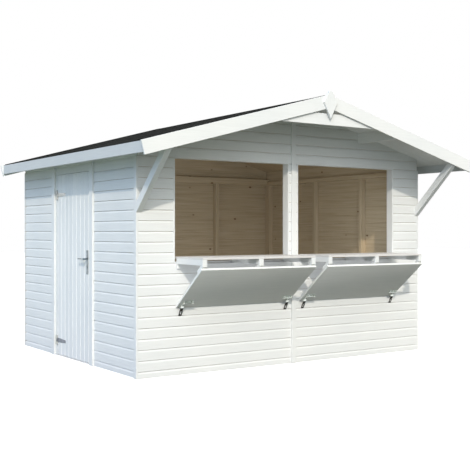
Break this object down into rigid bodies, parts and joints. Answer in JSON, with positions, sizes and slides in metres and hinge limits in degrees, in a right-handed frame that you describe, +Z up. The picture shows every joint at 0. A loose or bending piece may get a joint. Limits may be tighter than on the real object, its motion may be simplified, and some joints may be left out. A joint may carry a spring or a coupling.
{
  "type": "wooden garden shed with serving hatches",
  "caption": "White timber garden shed with shiplap walls, a low felt gable roof, a side door, and serving hatches folded down under a front canopy.",
  "frame": {"origin": "middle of the floor area at ground level, on the underside of the middle floor bearer", "axes": "+X across the serving front towards its right end, +Y from the serving front to the back wall, +Z up"},
  "size_m": [3.7412, 3.216, 2.4589],
  "materials": {
    "white_paint": "opaque satin white paint on planed softwood boards",
    "raw_timber": "bare planed spruce with knots",
    "roofing_felt": "mineral-surfaced bitumen felt, black and matt",
    "zinc_steel": "bright zinc plated steel"
  },
  "bodies": {
    "cabin": {"floor_bearers": "raw_timber", "floor_deck": "raw_timber", "front_apron": "white_paint", "front_piers": "white_paint", "front_gable": "white_paint", "front_studs": "raw_timber", "front_rails": "raw_timber", "back_wall": "white_paint", "back_studs": "raw_timber", "back_rails": "raw_timber", "right_wall": "white_paint", "right_studs": "raw_timber", "right_rails": "raw_timber", "left_wall_front": "white_paint", "left_wall_back": "white_paint", "left_wall_over_door": "white_paint", "left_studs": "raw_timber", "left_rails": "raw_timber", "corner_trims": "white_paint", "centre_batten": "white_paint", "door_trims": "white_paint", "door_frame": "white_paint", "hinge_plates": "zinc_steel", "roof_beams": "raw_timber", "canopy_braces": "white_paint", "roof_deck_left": "raw_timber", "roof_deck_right": "raw_timber", "felt_left": "roofing_felt", "felt_right": "roofing_felt", "eaves_fascias": "white_paint", "verge_boards_front": "white_paint", "verge_boards_back": "white_paint", "gable_tie": "white_paint", "finial": "white_paint", "hatch_linings": "white_paint", "hatch_ledgers": "white_paint", "counter_left": "white_paint", "counter_right": "white_paint", "counter_arms": "white_paint", "flap_left": "white_paint", "flap_right": "white_paint", "flap_blocks": "white_paint", "hatch_latches": "zinc_steel"},
    "door": {"door_leaf": "white_paint", "door_ledges": "white_paint", "hinge_straps": "zinc_steel", "lock_plate": "zinc_steel"},
    "lever": {"door_lever": "zinc_steel"}
  },
  "joints": [
    {"name": "door_hinge", "type": "hinge", "parent": "cabin", "child": "door", "pos_m": [-1.627, 0.4025, 0.9], "axis": [0, 0, -1], "range_deg": [0, 150]},
    {"name": "lever_turn", "type": "hinge", "parent": "door", "child": "lever", "pos_m": [-1.64, -0.297, 0.968], "axis": [-1, 0, 0], "range_deg": [0, 40], "stiffness_Nm_per_rad": 1, "springref_deg": -11.46}
  ]
}
